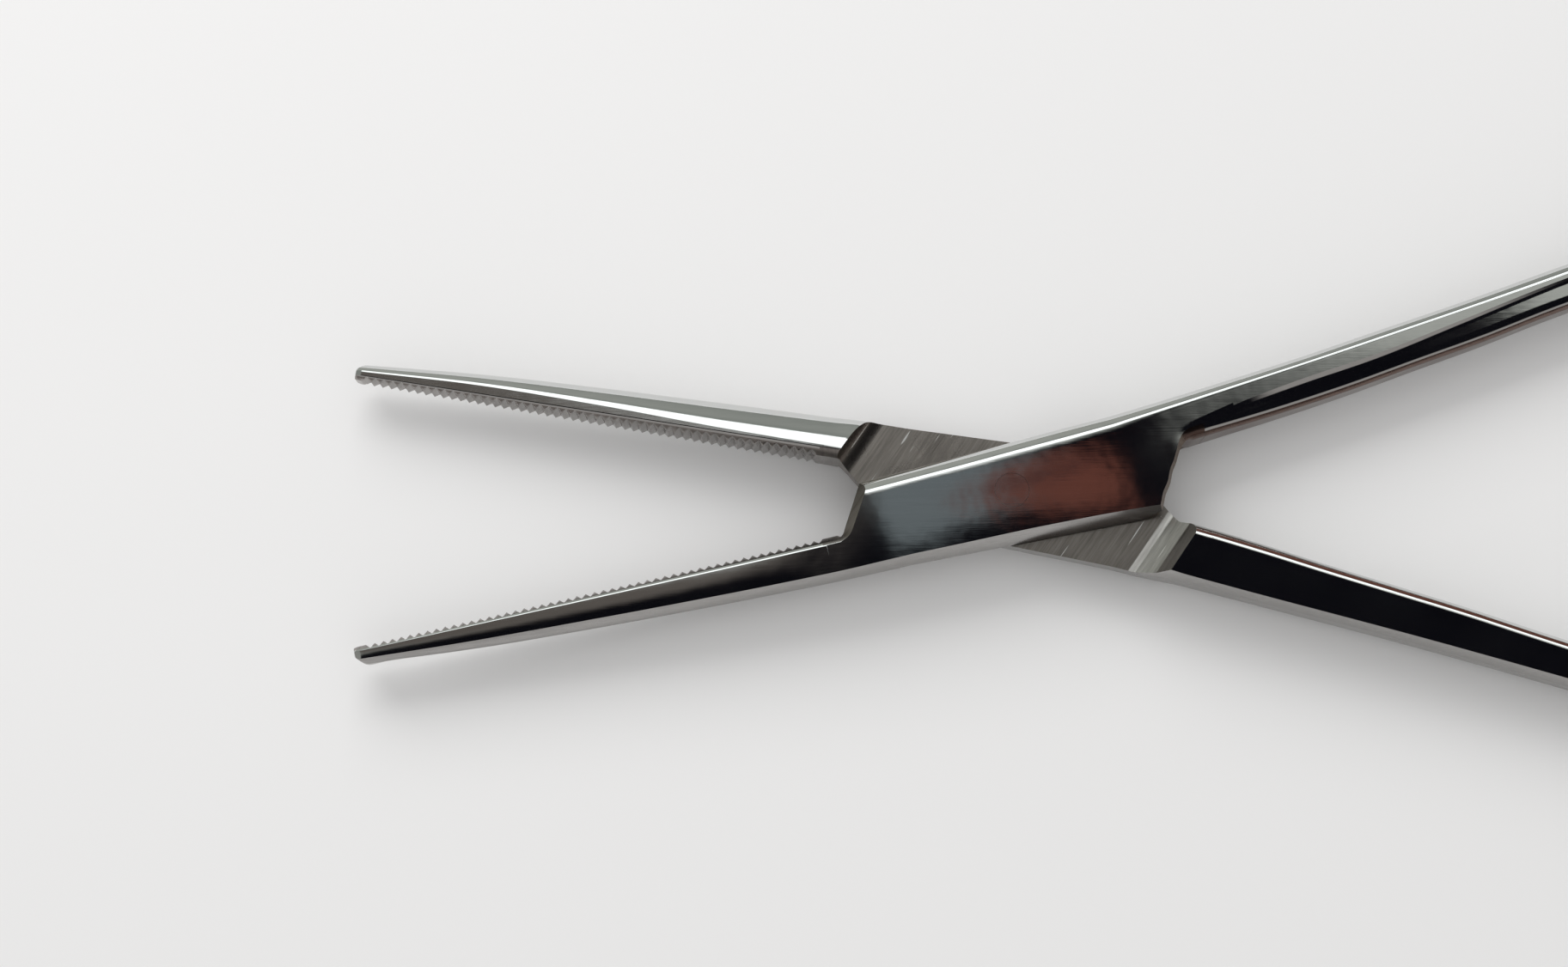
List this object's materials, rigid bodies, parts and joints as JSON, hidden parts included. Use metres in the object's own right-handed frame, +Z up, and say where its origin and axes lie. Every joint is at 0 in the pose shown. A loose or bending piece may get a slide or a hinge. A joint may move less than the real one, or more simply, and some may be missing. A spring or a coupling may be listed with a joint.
{
  "type": "hemostatic forceps",
  "caption": "Straight box-lock hemostatic forceps with fully cross-serrated jaws, ratchet bars and finger rings, lying open.",
  "frame": {"origin": "on the pivot's axis, on the underside of the lock, where the forceps lies on its back", "axes": "+X from the pivot towards the finger rings, between the two arms; +Y towards the box arm's ring; +Z up, along the pivot"},
  "size_m": [0.1738, 0.096, 0.0056],
  "materials": {
    "polished_steel": "mirror-polished stainless steel, ground matt on the web inside the lock",
    "pin_steel": "polished stainless steel, flush with the cheeks"
  },
  "bodies": {
    "box_half": {"box_arm": "polished_steel", "lock_pin": "pin_steel"},
    "web_half": {"web_arm": "polished_steel"}
  },
  "joints": [
    {"name": "lock_pivot", "type": "hinge", "parent": "box_half", "child": "web_half", "pos_m": [0, 0, 0.0028], "axis": [0, 0, -1], "range_deg": [-23.2, 48]}
  ]
}
